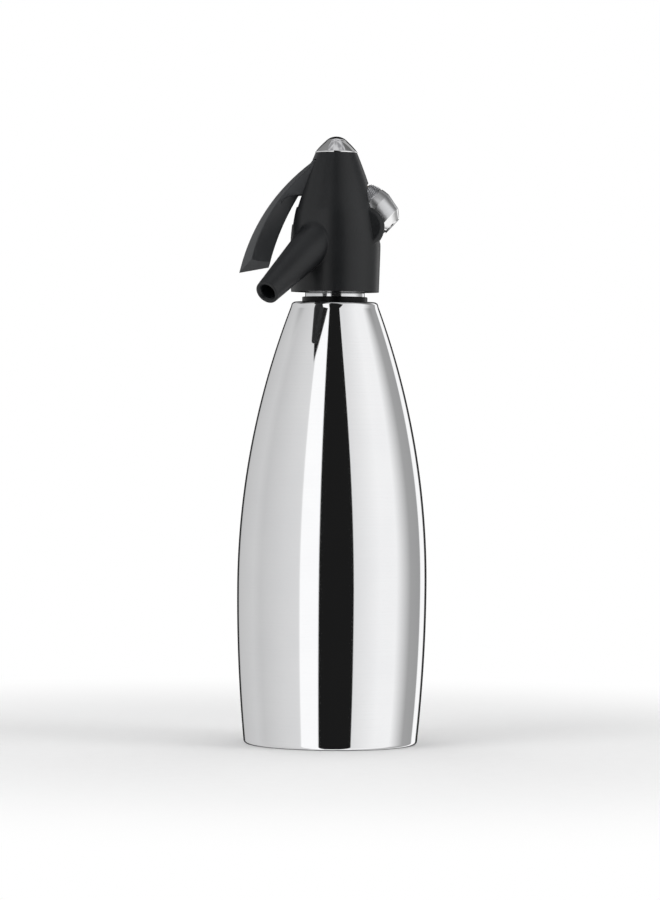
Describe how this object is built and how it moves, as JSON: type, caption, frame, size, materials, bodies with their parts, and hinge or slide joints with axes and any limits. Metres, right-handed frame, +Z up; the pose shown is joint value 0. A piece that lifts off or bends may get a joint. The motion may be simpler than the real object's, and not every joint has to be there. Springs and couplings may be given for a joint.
{
  "type": "soda siphon",
  "caption": "Steel soda siphon bottle with a black lever head, slanting spout, chrome dome and a capped charging inlet; the lever works a spring valve.",
  "frame": {"origin": "centre of the bottle's base, on the plane it stands on", "axes": "+Z up along the bottle; the lever points to -X, the charging inlet to +X, the spout to the front left"},
  "size_m": [0.099, 0.1049, 0.3162],
  "materials": {
    "mirror_steel": "mirror-polished stainless steel",
    "neck_steel": "turned stainless steel",
    "black_plastic": "satin moulded plastic",
    "chrome_dome": "bright chrome",
    "satin_silver": "satin anodised",
    "knurled_silver": "knurled, dark in its grooves",
    "brass": "machined",
    "inner_steel": "machined",
    "black_rubber": "moulded rubber",
    "clear_white_plastic": "natural white plastic"
  },
  "bodies": {
    "bottle": {"bottle_shell": "mirror_steel", "bottle_base": "mirror_steel", "neck_collar": "neck_steel", "neck_ring": "black_plastic"},
    "head_seat": {"head_gasket": "black_rubber"},
    "head": {"head_housing": "black_plastic", "dome_cap": "chrome_dome", "threaded_insert": "inner_steel", "housing_ring": "black_plastic", "valve_body": "brass", "spindle_o_ring": "black_rubber", "valve_spring": "inner_steel", "riser_tube": "clear_white_plastic", "riser_gasket": "black_rubber", "riser_nut": "brass", "spout": "black_plastic", "spout_gasket": "black_rubber", "lever_pin": "inner_steel", "inlet_nipple": "inner_steel", "inlet_sleeve_valve": "black_rubber", "gas_filter": "brass", "charger_seal": "black_rubber", "piercing_pin": "inner_steel", "gas_tube": "inner_steel"},
    "lever": {"lever": "black_plastic"},
    "spindle": {"valve_spindle": "inner_steel", "valve_seal": "black_rubber"},
    "cap_seat": {"cap_seal": "black_rubber"},
    "cap": {"cap_grip_ring": "knurled_silver", "inlet_cap": "satin_silver"}
  },
  "joints": [
    {"name": "head_lift", "type": "slide", "parent": "bottle", "child": "head_seat", "axis": [0, 0, 1], "range_m": [0, 0.25]},
    {"name": "head_turn", "type": "hinge", "parent": "head_seat", "child": "head", "pos_m": [0, 0, 0.25], "axis": [0, 0, 1], "range_deg": [0, 900]},
    {"name": "lever_press", "type": "hinge", "parent": "head", "child": "lever", "pos_m": [0.008, 0, 0.297], "axis": [0, -1, 0], "range_deg": [0, 6], "stiffness_Nm_per_rad": 0.16, "springref_deg": -28.65},
    {"name": "spindle_slide", "type": "slide", "parent": "head", "child": "spindle", "axis": [0, 0, -1], "range_m": [0, 0.00084], "deforming": ["valve_spring"]},
    {"name": "cap_pull", "type": "slide", "parent": "head", "child": "cap_seat", "axis": [0.7314, 0, -0.682], "range_m": [0, 0.09]},
    {"name": "cap_turn", "type": "hinge", "parent": "cap_seat", "child": "cap", "pos_m": [0.00987, 0, 0.28825], "axis": [0.7314, 0, -0.682], "range_deg": [0, 900]}
  ],
  "couplings": [
    {"joint": "spindle_slide", "follows": "lever_press", "m_per_rad": 0.008}
  ]
}
